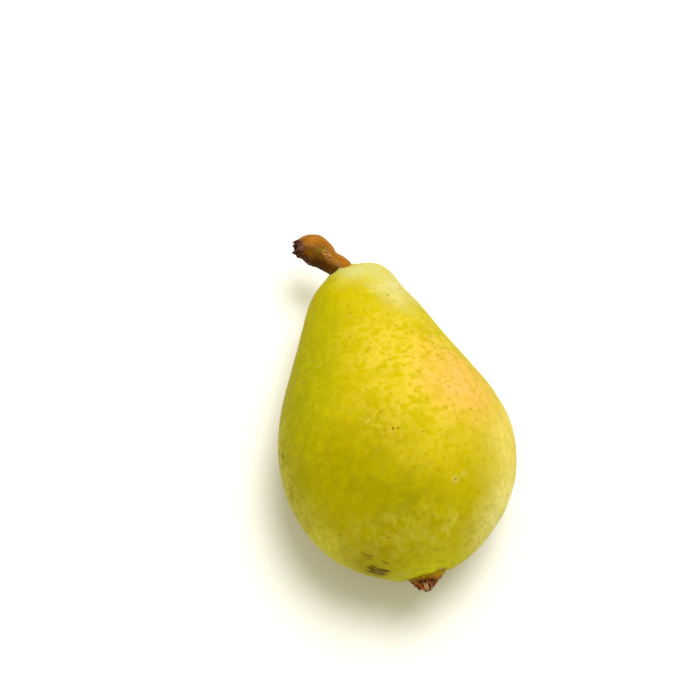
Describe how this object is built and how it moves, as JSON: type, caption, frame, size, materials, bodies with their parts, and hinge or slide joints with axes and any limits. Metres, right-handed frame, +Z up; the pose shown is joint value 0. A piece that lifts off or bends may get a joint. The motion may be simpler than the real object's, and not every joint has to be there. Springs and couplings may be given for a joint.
{
  "type": "pear",
  "caption": "Ripe whole pear lying on its side, with a thick bent stem at the neck and a dried calyx with its stamens at the blossom end.",
  "frame": {"origin": "middle of the small flat spot that the pear rests on, which lies right under its weight", "axes": "+Z up from the surface it lies on, +Y from the blossom end towards the stem end, X across"},
  "size_m": [0.0642, 0.103, 0.0648],
  "materials": {
    "skin": "thin waxy skin with a satin sheen, yellow over green with a faint peach blush, fine lenticels and small russet scars",
    "stem_bark": "smooth brown bark, ochre on top, rough and dark at the broken end",
    "dried_sepal": "dry and wrinkled, ochre and fleshy at the foot, dark brown at the edges",
    "dried_stamen": "dry withered threads, dull beige to dark brown"
  },
  "bodies": {
    "root": {"fruit": "skin", "stem": "stem_bark", "calyx": "dried_sepal", "stamens": "dried_stamen"}
  },
  "joints": []
}
